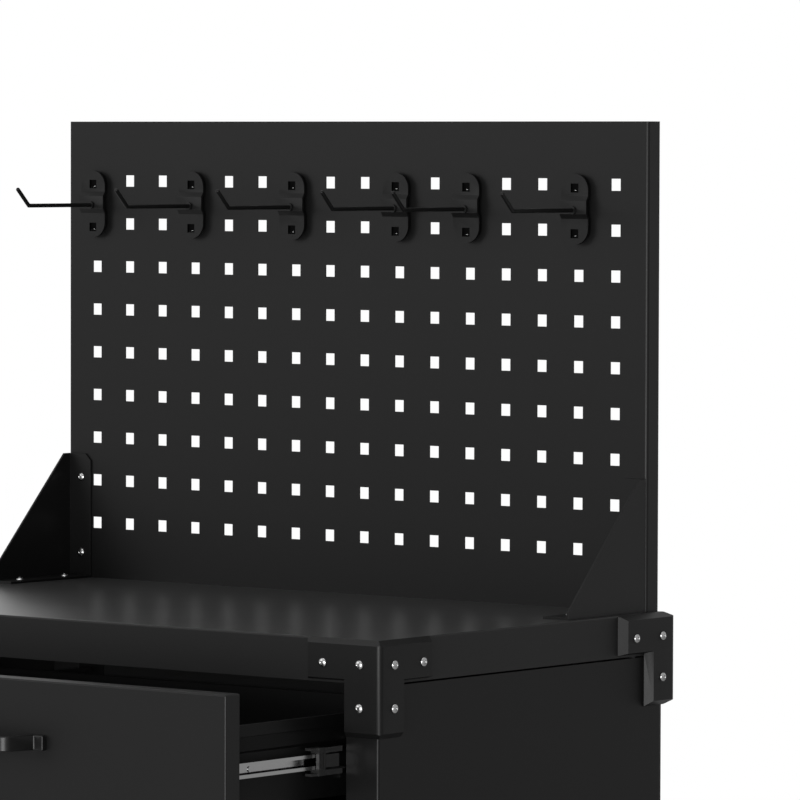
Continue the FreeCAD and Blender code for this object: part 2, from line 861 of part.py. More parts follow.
# Casters, built about a vertical line through the origin and then moved to their corner
def hex_bolt(base, direction, reference, grip):
    """Bolt with its head below base, its shank through the grip and a nut on the far side."""
    base = FreeCAD.Vector(*base)
    direction = FreeCAD.Vector(*direction)
    head = hexagon(hex_flats, hex_height, base - direction * hex_height, direction, reference)
    shank = Part.makeCylinder(bolt_radius, grip + nut_height + thread_past_nut, base, direction)
    nut = hexagon(hex_flats, nut_height, base + direction * grip, direction, reference)
    return fuse([head, shank, nut])


def bolt_places():
    return [(sx * bolt_spacing_x / 2, sy * bolt_spacing_y / 2) for sx in (-1, 1) for sy in (-1, 1)]


def top_plate():
    a, b = plate_length / 2, plate_width / 2
    corners = [(-a, -b, plate_corner), (a, -b, plate_corner), (a, b, plate_corner), (-a, b, plate_corner)]
    plate = prism(corners, "Z", plate_bottom, base_height)
    return cut(plate, [rod(bolt_hole_radius, plate_thickness + 2, (x, y, plate_bottom - 1), (0, 0, 1))
                       for x, y in bolt_places()])


def swivel_plate():
    """Top plate with the ball race housing and the kingpin that carries the fork."""
    race_bottom = plate_bottom - race_height
    crown_bottom = race_bottom - race_air - crown_thickness
    head_top = crown_bottom - race_air
    pin_bottom = head_top - kingpin_head_height
    profile = [(0, pin_bottom), (kingpin_head_radius, pin_bottom), (kingpin_head_radius, head_top),
               (kingpin_radius, head_top), (kingpin_radius, race_bottom),
               (race_radius - race_chamfer, race_bottom), (race_radius, race_bottom + race_chamfer),
               (race_radius, plate_bottom - race_shoulder), (race_radius - race_shoulder, plate_bottom),
               (0, plate_bottom)]
    return fuse([top_plate(), revolved(profile, (0, 0, 0), (0, 0, 1), (1, 0, 0))])


fork_outer_half = fork_inner_half + fork_sheet
race_bottom_z = plate_bottom - race_height
pedal_top = pedal_pivot_z + pedal_barrel_radius


def fork_legs(points):
    """The two cheeks of a fork, one each side of the wheel."""
    return [prism(points, "Y", y0, y1) for y0, y1 in ((-fork_outer_half, -fork_inner_half),
                                                      (fork_inner_half, fork_outer_half))]


def cross_drill(radius, x, z):
    """Hole through both cheeks."""
    reach = fork_outer_half + 1
    return rod(radius + running_clearance, 2 * reach, (x, -reach, z), (0, 1, 0))


def swivel_fork():
    """Fork that trails towards the middle of the cabinet, with ears for the brake pedal."""
    crown_top = race_bottom_z - race_air
    crown_bottom = crown_top - crown_thickness
    boss_bottom = wheel_radius - boss_radius
    cheek = [(-fork_rear_reach, crown_top), (fork_front_reach, crown_top),
             (fork_front_reach, crown_top - fork_cheek_height),
             (-caster_trail + boss_radius, boss_bottom, boss_rounding),
             (-caster_trail - boss_radius, boss_bottom, boss_rounding),
             (-fork_rear_reach, wheel_radius + fork_cheek_height)]
    crown = box(-race_radius, fork_front_reach, -fork_outer_half, fork_outer_half, crown_bottom, crown_top)
    disc = rod(race_radius, crown_thickness, (0, 0, crown_bottom), (0, 0, 1))
    pin_hole = rod(kingpin_radius + running_clearance, crown_thickness + 2, (0, 0, crown_bottom - 1),
                   (0, 0, 1))
    drills = [pin_hole, cross_drill(axle_radius, -caster_trail, wheel_radius),
              cross_drill(pedal_pin_radius, pedal_pivot_x, pedal_pivot_z)]
    return cut(fuse(fork_legs(cheek) + [crown, disc]), drills)


def fixed_fork():
    boss_bottom = wheel_radius - boss_radius
    cheek_bottom = plate_bottom - fork_cheek_height
    cheek = [(-race_radius, plate_bottom), (race_radius, plate_bottom), (race_radius, cheek_bottom),
             (boss_radius, boss_bottom, boss_rounding), (-boss_radius, boss_bottom, boss_rounding),
             (-race_radius, cheek_bottom)]
    return cut(fuse(fork_legs(cheek) + [top_plate()]), [cross_drill(axle_radius, 0, wheel_radius)])


def wheel(x):
    """Wheel with a bonded tread, a thin web and a bored hub, turned about its axle at x."""
    half = wheel_width / 2
    hub = fork_inner_half - side_clearance
    bore = axle_radius + running_clearance
    rim = rim_width / 2
    web = web_width / 2
    right = [(bore, -hub), (hub_radius, -hub), (hub_radius, -web), (rim_inner_radius, -web),
             (rim_inner_radius, -rim), (rim_radius, -rim), (rim_radius, -half),
             (wheel_radius - wheel_shoulder, -half), (wheel_radius - tread_crown, -half + tread_step),
             (wheel_radius, -half + wheel_shoulder + 1)]
    left = [(r, -d) for r, d in reversed(right)]
    return revolved(right + left, (x, 0, wheel_radius), (0, 1, 0), (1, 0, 0))


def axle(x):
    head_base = (x, -fork_outer_half - hex_height, wheel_radius)
    length = 2 * fork_outer_half + nut_height + thread_past_nut
    head = hexagon(hex_flats, hex_height, head_base, (0, 1, 0), (1, 0, 0))
    shank = rod(axle_radius, length, (x, -fork_outer_half, wheel_radius), (0, 1, 0))
    nut = hexagon(hex_flats, nut_height, (x, fork_outer_half, wheel_radius), (0, 1, 0), (1, 0, 0))
    return fuse([head, shank, nut])


def brake_pedal():
    """Foot pedal on a pin through the fork's ears, with a shoe above the tread."""
    x = pedal_pivot_x
    barrel = rod(pedal_barrel_radius, 2 * pedal_neck_half, (x, -pedal_neck_half, pedal_pivot_z), (0, 1, 0))
    pin_half = fork_outer_half + pedal_pin_end
    pin = rod(pedal_pin_radius, 2 * pin_half, (x, -pin_half, pedal_pivot_z), (0, 1, 0))
    knee = x - pedal_knee
    end = x - pedal_length
    end_z = pedal_top - (knee - end) * math.tan(math.radians(pedal_slope))
    under = pedal_top - pedal_sheet
    neck = prism([(x, under), (x, pedal_top), (knee, pedal_top), (knee, under)],
                 "Y", -pedal_neck_half, pedal_neck_half)
    run = [(knee, pedal_top), (end, end_z), (end - pedal_lip_length, end_z + pedal_lip_rise)]
    tread = prism(folded(run, pedal_sheet), "Y", -pedal_half_width, pedal_half_width)
    shoe_top = pedal_top - 1
    shoe_low = pedal_pivot_z - pedal_barrel_radius - shoe_depth
    shoe_rear = knee - 6
    shoe = prism([(shoe_rear, shoe_top - shoe_depth), (shoe_rear, shoe_low),
                  (shoe_rear + shoe_length, shoe_low + 4), (shoe_rear + shoe_length, shoe_top)],
                 "Y", -shoe_half_width, shoe_half_width)
    return fuse([barrel, pin, neck, tread, shoe])


caster_x = half_top - caster_from_end
caster_front_y = front_y + caster_from_front
caster_rear_y = rear_y - caster_from_front


def placed(shape, x, y):
    shape = shape.copy()
    shape.translate(FreeCAD.Vector(x, y, 0))
    return shape


def bolt_centres():
    """Plan places of all the caster bolts."""
    centres = []
    for caster in ((cx, cy) for cx in (-caster_x, caster_x) for cy in (caster_front_y, caster_rear_y)):
        centres += [(caster[0] + x, caster[1] + y) for x, y in bolt_places()]
    return centres


def caster_bolts():
    grip = plate_thickness + base_sheet
    return Part.makeCompound([hex_bolt((x, y, plate_bottom), (0, 0, 1), (1, 0, 0), grip)
                              for x, y in bolt_centres()])


def floor_drills():
    return [rod(bolt_hole_radius, base_sheet + 2, (x, y, base_height - 1), (0, 0, 1))
            for x, y in bolt_centres()]


def build():
    """Every node by name."""
    corner_holes = all_guard_drills()
    panel_holes = both_sides(panel_drills())
    nodes = {"work_top": cut(work_top(), corner_holes + panel_holes),
             "back_panel": cut(back_panel(), panel_holes), "rear_panel": cut(rear_panel(), corner_holes),
             "base_pan": cut(base_pan(), floor_drills()), "guard_screws": guard_screws(),
             "panel_screws": panel_screws(), "caster_bolts": caster_bolts()}
    for side in ("right", "left"):
        turn = (lambda s: s) if side == "right" else mirrored
        nodes["side_panel_" + side] = cut(turn(side_panel()), corner_holes)
        nodes["gusset_" + side] = turn(gusset())
        for end in ("front", "rear"):
            post = turn(corner_post(end == "front"))
            nodes["corner_post_%s_%s" % (end, side)] = cut(post, corner_holes)
            nodes["corner_guard_%s_%s" % (end, side)] = corner_guard(end == "front", side == "right")
    for i, column in enumerate(hook_columns):
        nodes["hook_%d" % (i + 1)] = hook(column)
    for number in drawer_numbers:
        shift = FreeCAD.Vector(0, drawer_shift(number), 0)
        half_shift = shift * 0.5
        moving = {"drawer_front_%d" % number: (drawer_front(number), shift),
                  "drawer_box_%d" % number: (drawer_box(number), shift),
                  "drawer_pull_%d" % number: (drawer_pull(number), shift),
                  "slide_drawer_members_%d" % number: (pair(drawer_member(number)), shift),
                  "slide_middle_members_%d" % number: (pair(middle_member(number)), half_shift)}
        if number == 1:
            moving["slide_ball_cages_1"] = (pair(ball_cage(number)), half_shift)
        else:
            both = Part.makeCompound([moving["slide_middle_members_%d" % number][0], pair(ball_cage(number))])
            moving["slide_middle_members_%d" % number] = (both, half_shift)
        for name, (shape, move) in moving.items():
            nodes[name] = shape.copy()
            nodes[name].translate(move)
    nodes["slide_cabinet_members"] = Part.makeCompound([pair(cabinet_member(n)) for n in drawer_numbers])
    ends = {"front": caster_front_y, "rear": caster_rear_y}
    nodes["swivel_plates"] = Part.makeCompound([placed(swivel_plate(), caster_x, y) for y in ends.values()])
    nodes["fixed_forks"] = Part.makeCompound([placed(fixed_fork(), -caster_x, y) for y in ends.values()])
    nodes["fixed_axles"] = Part.makeCompound([placed(axle(0), -caster_x, y) for y in ends.values()])
    for end, y in ends.items():
        nodes["swivel_fork_" + end] = placed(swivel_fork(), caster_x, y)
        nodes["axle_" + end] = placed(axle(-caster_trail), caster_x, y)
        nodes["brake_pedal_" + end] = placed(brake_pedal(), caster_x, y)
        nodes["wheel_%s_right" % end] = placed(wheel(-caster_trail), caster_x, y)
        nodes["wheel_%s_left" % end] = placed(wheel(0), -caster_x, y)
    return nodes


os.makedirs("parts", exist_ok=True)
for name, shape in build().items():
    shape.exportStep("parts/%s.step" % name)
    bounds = shape.BoundBox
    print("%-26s solids %2d  valid %s  volume %10.0f  z %.1f to %.1f"
          % (name, len(shape.Solids), shape.isValid(), shape.Volume, bounds.ZMin, bounds.ZMax))
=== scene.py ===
import json
import math

import bmesh
import bpy
import numpy as np
from mathutils import Matrix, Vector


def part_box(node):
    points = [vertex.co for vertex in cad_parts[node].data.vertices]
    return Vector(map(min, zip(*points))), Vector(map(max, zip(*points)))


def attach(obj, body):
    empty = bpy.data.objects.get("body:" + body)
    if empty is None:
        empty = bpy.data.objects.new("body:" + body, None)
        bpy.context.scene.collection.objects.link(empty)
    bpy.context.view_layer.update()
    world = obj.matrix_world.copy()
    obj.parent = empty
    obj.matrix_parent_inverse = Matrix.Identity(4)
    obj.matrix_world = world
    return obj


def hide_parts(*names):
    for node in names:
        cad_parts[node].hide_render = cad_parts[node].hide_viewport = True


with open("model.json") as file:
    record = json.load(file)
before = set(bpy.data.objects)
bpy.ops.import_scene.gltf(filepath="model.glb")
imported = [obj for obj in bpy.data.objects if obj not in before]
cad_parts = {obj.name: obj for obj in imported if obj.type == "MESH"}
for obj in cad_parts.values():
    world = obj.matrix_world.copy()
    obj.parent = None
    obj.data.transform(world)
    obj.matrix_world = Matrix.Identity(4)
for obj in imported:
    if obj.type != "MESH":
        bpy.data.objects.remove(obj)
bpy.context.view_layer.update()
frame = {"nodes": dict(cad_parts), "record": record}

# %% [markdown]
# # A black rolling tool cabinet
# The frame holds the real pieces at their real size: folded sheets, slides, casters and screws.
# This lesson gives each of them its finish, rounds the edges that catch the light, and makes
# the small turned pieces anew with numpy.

slot_of = {piece["node"]: piece["material_slot"] for piece in frame["record"]["subparts"]}
body_of = {node: body for body, nodes in frame["record"]["behaviour"]["bodies"].items() for node in nodes}


def add_object(name, data):
    """New object in the scene round a mesh, a lamp or a camera."""
    made = bpy.data.objects.new(name, data)
    bpy.context.scene.collection.objects.link(made)
    return made


# %% [markdown]
# ## Arithmetic on shader sockets
# A finish changes a little from place to place, and those changes are sums and products of
# textures. Blender writes them as Math nodes, and a page of such nodes is hard to read. A small
# class lets us write them as Python arithmetic instead, so that 1 - mask adds the node by itself.

# %% A socket that can be added and multiplied
class Wire:
    """One output of a shader node, or what arithmetic makes of it."""

    def __init__(self, finish, socket):
        self.finish = finish
        self.socket = socket

    def maths(self, operation, first, second):
        return self.finish.maths(operation, first, second)

    def __add__(self, other):
        return self.maths("ADD", self, other)

    def __sub__(self, other):
        return self.maths("SUBTRACT", self, other)

    def __rsub__(self, other):
        return self.maths("SUBTRACT", other, self)

    def __mul__(self, other):
        return self.maths("MULTIPLY", self, other)

    __radd__ = __add__
    __rmul__ = __mul__


# %% [markdown]
# ## One way to make a material
# Each finish starts from the Principled shader. The values that are the same all over the piece
# go straight onto its sockets, and every other node comes from the method called node, which
# takes the node's type, its settings, and what goes into its sockets.

# %% The material maker
class Outputs:
    """The outputs of one node, by name."""

    def __init__(self, finish, node):
        self.finish = finish
        self.node = node

    def __getitem__(self, name):
        return Wire(self.finish, self.node.outputs[name])


class Finish:
    """A material built round one Principled shader."""

    def __init__(self, name, **constants):
        self.material = bpy.data.materials.new(name)
        self.material.use_nodes = True
        self.tree = self.material.node_tree
        self.shader = self.tree.nodes["Principled BSDF"]
        self.feed(self.shader, {key.replace("_", " "): value for key, value in constants.items()})
        self.place = self.node("ShaderNodeTexCoord")["Object"]

    def feed(self, node, inputs):
        for key, value in inputs.items():
            if isinstance(value, Wire):
                self.tree.links.new(value.socket, node.inputs[key])
            else:
                node.inputs[key].default_value = value

    def node(self, kind, settings=None, inputs=None):
        made = self.tree.nodes.new(kind)
        for key, value in (settings or {}).items():
            setattr(made, key, value)
        self.feed(made, inputs or {})
        return Outputs(self, made)

    def maths(self, operation, first, second):
        return self.node("ShaderNodeMath", {"operation": operation}, {0: first, 1: second})["Value"]

    def noise(self, size, detail=2.0, roughness=0.5):
        """Noise whose blotches are about this many metres across."""
        texture = self.node("ShaderNodeTexNoise", {}, {"Vector": self.place, "Scale": 1 / size,
                                                       "Detail": detail, "Roughness": roughness})
        return texture["Fac"]

    def parts(self, vector):
        """The X, Y and Z parts of a vector."""
        return self.node("ShaderNodeSeparateXYZ", {}, {0: vector})

    def mix(self, amount, first, second):
        """Colour that runs from first to second as amount runs from 0 to 1."""
        mixed = self.node("ShaderNodeMix", {"data_type": "RGBA"}, {0: amount, 6: first, 7: second})
        return Wire(self, mixed.node.outputs[2])

    def bump(self, height, depth):
        """Surface normal from a height between 0 and 1, depth metres deep."""
        made = self.node("ShaderNodeBump", {}, {"Height": height, "Distance": depth, "Strength": 1.0})
        return made["Normal"]

    def surface(self, **inputs):
        self.feed(self.shader, {key.replace("_", " "): value for key, value in inputs.items()})
        return self.material


def grey(level, warmth=0.0):
    """Neutral colour of a given linear level, a touch warmer or cooler."""
    return (level * (1 + warmth), level, level * (1 - warmth), 1.0)


# %% [markdown]
# ## Powder coat
# The cabinet is sprayed with black powder and baked. The melted grains leave a fine orange peel,
# a few hundredths of a millimetre deep and about a millimetre across, and the gloss drifts a
# little over a hand's breadth. The peel could be modelled, but no edge shows it, so a bump is
# enough. Two noises of those sizes give both. The black itself is never quite even. Faces that
# lie flat are painted lighter, partly as dust and partly as painted light from above, and the
# inner faces of folded sheets are painted lighter as painted light reaching inside.

# %% Powder coat in a few shades
def powder_coat(name, level, roughness, peel, shine, dust=0.0, polish=0.0, inner_painted_light=0.0):
    """Black powder coat: fine peel as a bump, slow drift in shade and gloss.

    Peel is the size and the depth of the bump in metres. Dust is the shade of what lies flat,
    partly dust and partly painted light from above. It follows the upward part of the surface's
    direction, to the fourth power, so that it thins out over the rounded edges. A top that is wiped
    and rubbed is smoother there than its lips are, by the amount called polish. The last argument
    is the shade of the inner faces, painted lighter as painted light reaching into the folds. They
    look back towards the middle: place times direction is negative there, along X or along Y.
    """
    peel_size, peel_depth = peel
    finish = Finish(name, Specular_IOR_Level=shine)
    drift = finish.noise(0.12, detail=3.0)
    grain = finish.noise(peel_size, detail=1.0)
    shade = finish.mix(drift * 0.6 + grain * 0.4, grey(level * 0.85), grey(level * 1.15))
    gloss = drift * 0.06 + (roughness - 0.03)
    facing = finish.parts(finish.node("ShaderNodeNewGeometry")["Normal"])
    # Inner faces that look back towards the middle are painted lighter: painted light reaching inside.
    if inner_painted_light:
        place = finish.parts(finish.place)
        inward = finish.maths("MINIMUM", place["X"] * facing["X"], place["Y"] * facing["Y"])
        shade = finish.mix(finish.maths("LESS_THAN", inward, -0.1), shade, grey(inner_painted_light))
    # Faces that lie flat are painted lighter: partly dust, partly painted light from above.
    if dust:
        flat_dust_and_light = finish.maths("POWER", finish.maths("MAXIMUM", facing["Z"], 0.0), 4.0)
        shade = finish.mix(flat_dust_and_light * (drift * 0.3 + 0.85), shade, grey(dust))
        gloss = gloss - flat_dust_and_light * polish
    return finish.surface(Base_Color=shade, Roughness=gloss, Normal=finish.bump(grain, peel_depth))


fine_peel, soft_peel, small_peel = (0.0010, 0.00002), (0.0010, 0.00001), (0.0008, 0.00002)
# The top and the box paint flat faces lighter, partly dust and partly painted light from above; the shell
# and the box paint their inner faces lighter as painted light.
coats = {
    "powder_black_top": {"level": 0.0024, "roughness": 0.46, "peel": (0.0012, 0.00002), "shine": 0.12,
                         "dust": 0.020, "polish": 0.17},
    "powder_black_panel": {"level": 0.0018, "roughness": 0.45, "peel": fine_peel, "shine": 0.12},
    "powder_black_shell": {"level": 0.0018, "roughness": 0.42, "peel": fine_peel, "shine": 0.09,
                           "inner_painted_light": 0.03},
    "powder_black_front": {"level": 0.0020, "roughness": 0.42, "peel": fine_peel, "shine": 0.12},
    "powder_black_box": {"level": 0.0015, "roughness": 0.30, "peel": soft_peel, "shine": 0.06,
                         "dust": 0.010, "inner_painted_light": 0.013},
    "hook_black": {"level": 0.0020, "roughness": 0.40, "peel": small_peel, "shine": 0.11},
    "pull_black": {"level": 0.0020, "roughness": 0.38, "peel": small_peel, "shine": 0.15},
}
finishes = {name: powder_coat(name, **values) for name, values in coats.items()}
print("powder coats:", ", ".join(finishes))

# %% [markdown]
# ## Moulded corners and pedals
# The corner guards are moulded. Their skin is even, with a faint leather grain from the mould,
# half a millimetre across. A picture of leather could be laid over them, but it would need seams
# at the corners, and noise in space has none.

# %% Moulded black plastic
def moulded(name, level, roughness, shine):
    """Black moulding: an even fine grain and almost no drift in colour."""
    finish = Finish(name, Specular_IOR_Level=shine)
    grain = finish.noise(0.0006, detail=0.0)
    drift = finish.noise(0.05)
    return finish.surface(Base_Color=finish.mix(drift, grey(level * 0.92), grey(level * 1.08)),
                          Roughness=grain * 0.08 + (roughness - 0.04), Normal=finish.bump(grain, 0.00001))


for name, level, roughness, shine in (("guard_black", 0.0020, 0.42, 0.095), ("cage_grey", 0.008, 0.30, 0.2),
                                      ("pedal_black", 0.008, 0.45, 0.3)):
    finishes[name] = moulded(name, level, roughness, shine)
    print("moulded", name)

# %% [markdown]
# ## Zinc plate
# Screws, slides, forks and bolts are steel with a thin coat of zinc. It is a metal finish, so
# Metallic is 1 and the colour tints the reflections. Rolling leaves soft streaks along the
# slides, which a noise stretched along their length draws. Small stamped pieces have none, so
# there the same noise keeps its shape.

# %% Zinc plate, streaked along the length of the sheet
along_slides, not_stretched = (1.0, 0.05, 1.0), (1.0, 1.0, 1.0)


def zinc(name, level, roughness, streak):
    """Zinc on steel: bright metal with long soft streaks and small dull spots."""
    finish = Finish(name, Metallic=1.0)
    stretched = finish.node("ShaderNodeMapping", {}, {"Vector": finish.place, "Scale": streak})["Vector"]
    lines = finish.node("ShaderNodeTexNoise", {}, {"Vector": stretched, "Scale": 900.0,
                                                   "Detail": 3.0})["Fac"]
    spots = finish.noise(0.006, detail=3.0)
    tone = finish.mix(lines * 0.5 + spots * 0.5, grey(level * 0.85, -0.01), grey(level * 1.1, 0.01))
    return finish.surface(Base_Color=tone, Roughness=lines * 0.12 + spots * 0.08 + (roughness - 0.10),
                          Normal=finish.bump(lines, 0.00001))


for name, level, roughness, streak in (("screw_zinc", 0.27, 0.26, not_stretched),
                                       ("slide_zinc", 0.20, 0.12, along_slides),
                                       ("caster_zinc", 0.38, 0.34, not_stretched),
                                       ("bolt_zinc", 0.40, 0.30, not_stretched)):
    finishes[name] = zinc(name, level, roughness, streak)
    print("plated", name)

# %% [markdown]
# ## Rubber
# The treads are dark rubber. It is matt, and dust from the floor sits in its pores. One noise of
# a few millimetres with much fine detail gives the shade, the dullness and the pores together,
# so that they fall on the same spots.

# %% Rubber of the treads
def rubber(name, level):
    """Dark rubber: matt, with fine mould dust."""
    finish = Finish(name, Specular_IOR_Level=0.35)
    dust = finish.noise(0.004, detail=4.0, roughness=0.7)
    return finish.surface(Base_Color=finish.mix(dust, grey(level * 0.8), grey(level * 1.3)),
                          Roughness=dust * 0.15 + 0.55, Normal=finish.bump(dust, 0.00003))


finishes["wheel_rubber"] = rubber("wheel_rubber", 0.016)
print(len(finishes), "finishes in all")

# %% [markdown]
# ## Dressing the frame
# Every piece of the frame now takes the finish that its record names.

# %% Give each frame piece its finish
for name, piece in frame["nodes"].items():
    piece.data.materials.clear()
    piece.data.materials.append(finishes[slot_of[name]])
print("dressed", len(frame["nodes"]), "pieces in", len(finishes), "finishes")

# %% [markdown]
# ## Soft edges
# No edge of a real cabinet is sharp. A sheared and coated edge is round by half a millimetre, a
# moulded one by about one, and that thin round band catches the light in the picture. It could
# be faked with a bump, but then an outline would stay sharp. The frame's pieces are exact but
# sharp, and their triangles are loose. So each piece that shows its edges gets a copy whose
# triangles are joined, whose flats are made whole again, and whose sharp edges are rounded by a
# Bevel modifier. The copy stands for the frame's piece and rides with it.

# %% Copies with rounded edges
sharp_angle, flat_angle, same_place = math.radians(28.0), math.radians(0.4), 0.00001


def standing_for(piece, node):
    """The piece rides with the body of a frame piece and is shown in its place."""
    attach(piece, body_of[node])
    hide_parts(node)
    return piece


def softened(node, width):
    """Copy of a frame piece whose sharp edges are rounded by width."""
    mesh = frame["nodes"][node].data.copy()
    shape = bmesh.new()
    shape.from_mesh(mesh)
    bmesh.ops.remove_doubles(shape, verts=shape.verts, dist=same_place)
    bmesh.ops.dissolve_limit(shape, angle_limit=flat_angle, verts=shape.verts, edges=shape.edges)
    shape.to_mesh(mesh)
    shape.free()
    mesh.shade_smooth()
    mesh.set_sharp_from_angle(angle=sharp_angle)
    piece = add_object("soft_" + node, mesh)
    rounding = piece.modifiers.new("rounding", "BEVEL")
    rounding.limit_method = "ANGLE"
    rounding.angle_limit = sharp_angle
    rounding.width = width
    rounding.segments = 2
    rounding.harden_normals = True
    return standing_for(piece, node)


sheet_edge, turned_edge, moulded_edge = 0.0005, 0.0006, 0.0012
edge_widths = {"gusset_right": sheet_edge, "gusset_left": sheet_edge, "swivel_plates": sheet_edge,
               "fixed_forks": sheet_edge, "fixed_axles": turned_edge}
edge_widths.update({"hook_%d" % number: 0.0004 for number in range(1, 7)})
for number in range(1, 5):
    edge_widths.update({"drawer_pull_%d" % number: 0.0010, "drawer_box_%d" % number: sheet_edge})
for end in ("front", "rear"):
    edge_widths.update({"corner_guard_%s_%s" % (end, side): moulded_edge for side in ("right", "left")})
    edge_widths.update({"swivel_fork_" + end: sheet_edge, "axle_" + end: turned_edge,
                        "brake_pedal_" + end: turned_edge})
soft_pieces = {node: softened(node, width) for node, width in edge_widths.items()}
print("rounded", len(soft_pieces), "pieces")

# %% [markdown]
# ## Windows of the hook plates
# Each hook plate has two square windows with its tongues bent back through them. No light
# reaches in there, so the faces inside a window are painted nearly black, as painted shade.
# We find them by their middles, which lie within the window's width and height and between the
# plate's front and the panel. Picking faces by number would break as soon as the mesh changes.

# %% Painted shade inside the windows
window_painted_shade = moulded("window_painted_shade", 0.0004, 0.60, 0.02)
hole_pitch, plate_rise, window_drop, window_half = 0.038, 0.0088, 0.0029, 0.0042
tail_to_panel, tail_to_plate = 0.0072, 0.0091


def darken_windows(piece, node):
    """Give the faces inside the two windows of a hook plate a painted shade, nearly black.

    Depths are measured forward from the ends of the hook's tails, its rearmost points.
    """
    low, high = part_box(node)
    mesh = piece.data
    mesh.materials.append(window_painted_shade)
    middles = np.empty(len(mesh.polygons) * 3)
    mesh.polygons.foreach_get("center", middles)
    x, y, z = middles.reshape(-1, 3).T
    depth = high[1] - y
    inside = (np.abs(x - (low[0] + high[0]) / 2) < window_half)
    inside &= (depth > tail_to_panel) & (depth < tail_to_plate)
    level = np.zeros(len(z), bool)
    for row in (0, 1):
        level |= np.abs(z - (high[2] - plate_rise - row * hole_pitch - window_drop)) < window_half
    mesh.polygons.foreach_set("material_index", (inside & level).astype(int))
    return int((inside & level).sum())


for node in ["hook_%d" % number for number in range(1, 7)]:
    print(node, darken_windows(soft_pieces[node], node), "faces darkened")

# %% [markdown]
# ## Turned pieces
# A screw or a wheel is a line turned about an axis. A Screw modifier could turn it, but only one
# at a time. Here the line is a short list of (radius, height) points, and numpy works out all
# the copies at once: for every point of the line and every angle round the axis, the place is
# the centre, plus the height along the axis, plus the radius times cosine and sine of the angle
# along two directions across the axis.

# %% Lathe
def surface(name, points, faces, finish):
    """Mesh from an array of points and an array of four sided faces."""
    mesh = bpy.data.meshes.new(name)
    mesh.from_pydata(points.reshape(-1, 3).tolist(), [], faces.tolist())
    mesh.materials.append(finish)
    mesh.shade_smooth()
    mesh.set_sharp_from_angle(angle=math.radians(40))
    return mesh


def turned(name, line, centres, axes, sides, finish, hexagonal=()):
    """One mesh with the line turned about every centre.

    place = centre + axis * height + radius * (across * cos(t) + upward * sin(t)), for every angle
    t. Rings numbered in hexagonal keep the radius to the flats: at an angle t from the middle of
    a flat the radius is divided by the cosine of t.
    """
    line = np.array(line, float)
    centres, axes = np.array(centres, float), np.array(axes, float)
    rings, count = len(line), len(centres)
    angles = np.linspace(0.0, 2 * np.pi, sides, endpoint=False)
    helper = np.where(np.abs(axes[:, 2:3]) > 0.5, [[1.0, 0.0, 0.0]], [[0.0, 0.0, 1.0]])
    across = np.cross(axes, helper)
    upward = np.cross(across, axes)
    reach = np.repeat(line[:, 0:1], sides, axis=1)
    from_flat = (angles + np.pi / 6) % (np.pi / 3) - np.pi / 6
    reach[list(hexagonal)] /= np.cos(from_flat)
    round_about = (across[:, None, None, :] * np.cos(angles)[None, None, :, None]
                   + upward[:, None, None, :] * np.sin(angles)[None, None, :, None])
    points = (centres[:, None, None, :] + axes[:, None, None, :] * line[None, :, 1, None, None]
              + round_about * reach[None, :, :, None])
    ring, side = np.meshgrid(np.arange(rings - 1), np.arange(sides), indexing="ij")
    after = (side + 1) % sides
    patch = np.stack([ring * sides + side, ring * sides + after, (ring + 1) * sides + after,
                      (ring + 1) * sides + side], axis=-1).reshape(-1, 4)
    faces = (patch[None] + (np.arange(count) * rings * sides)[:, None, None]).reshape(-1, 4)
    return surface(name, points, faces, finish)


# %% [markdown]
# ## Button head screws
# Six screws hold each corner guard and four each gusset, and four more hold the panel's foot.
# The head is a low dome, 7.4 mm across, with a hexagon socket. The dome is a quarter of an
# ellipse, so its line is radius times cosine and height times sine of an angle that runs up
# from the seat. The rim is rounded, so it shows a bright ring, as the real heads do.

# %% Screws
guard_low, guard_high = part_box("corner_guard_front_right")
top_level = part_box("work_top")[1][2]
front_plane, side_plane = guard_low[1], guard_high[0]
rear_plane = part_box("corner_guard_rear_right")[1][1]
panel_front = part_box("back_panel")[0][1]

head_radius, head_height, rim_height, socket_flat, socket_deep = 0.0037, 0.0022, 0.0004, 0.0012, 0.0005
shank_radius, shank_end, axis_radius = 0.0019, -0.0052, 0.00001
climb = np.linspace(0.0, np.pi / 2, 9)[:-2]
dome = [(head_radius * math.cos(a), rim_height + (head_height - rim_height) * math.sin(a)) for a in climb]
screw_line = ([(axis_radius, shank_end), (shank_radius, shank_end), (shank_radius, 0.0),
               (head_radius - 0.0003, 0.0), (head_radius, rim_height / 2)] + dome
              + [(socket_flat + 0.0002, head_height), (socket_flat, head_height - 0.0001),
                 (socket_flat, head_height - socket_deep), (axis_radius, head_height - socket_deep)])
socket_rings = (len(screw_line) - 3, len(screw_line) - 2)


def guard_screw_centres():
    """Seats and directions of the screws, worked out for one corner and mirrored to the others."""
    upper_drop, lower_drop, spacing, from_side, from_front = 0.0191, 0.0532, 0.0367, 0.0206, 0.0180
    x, y = side_plane - from_side, front_plane + from_front
    upper, lower = top_level - upper_drop, top_level - lower_drop
    corner = [((px, front_plane, pz), (0, -1, 0))
              for px, pz in ((x, upper), (x - spacing, upper), (x, lower))]
    corner += [((side_plane, py, pz), (1, 0, 0))
               for py, pz in ((y, upper), (y + spacing, upper), (y, lower))]
    middle = (front_plane + rear_plane) / 2
    places, directions = [], []
    for flip_x in (1, -1):
        for flip_y in (1, -1):
            for (px, py, pz), (dx, dy, dz) in corner:
                places.append((flip_x * px, middle + flip_y * (py - middle), pz))
                directions.append((flip_x * dx, flip_y * dy, dz))
    return places, directions


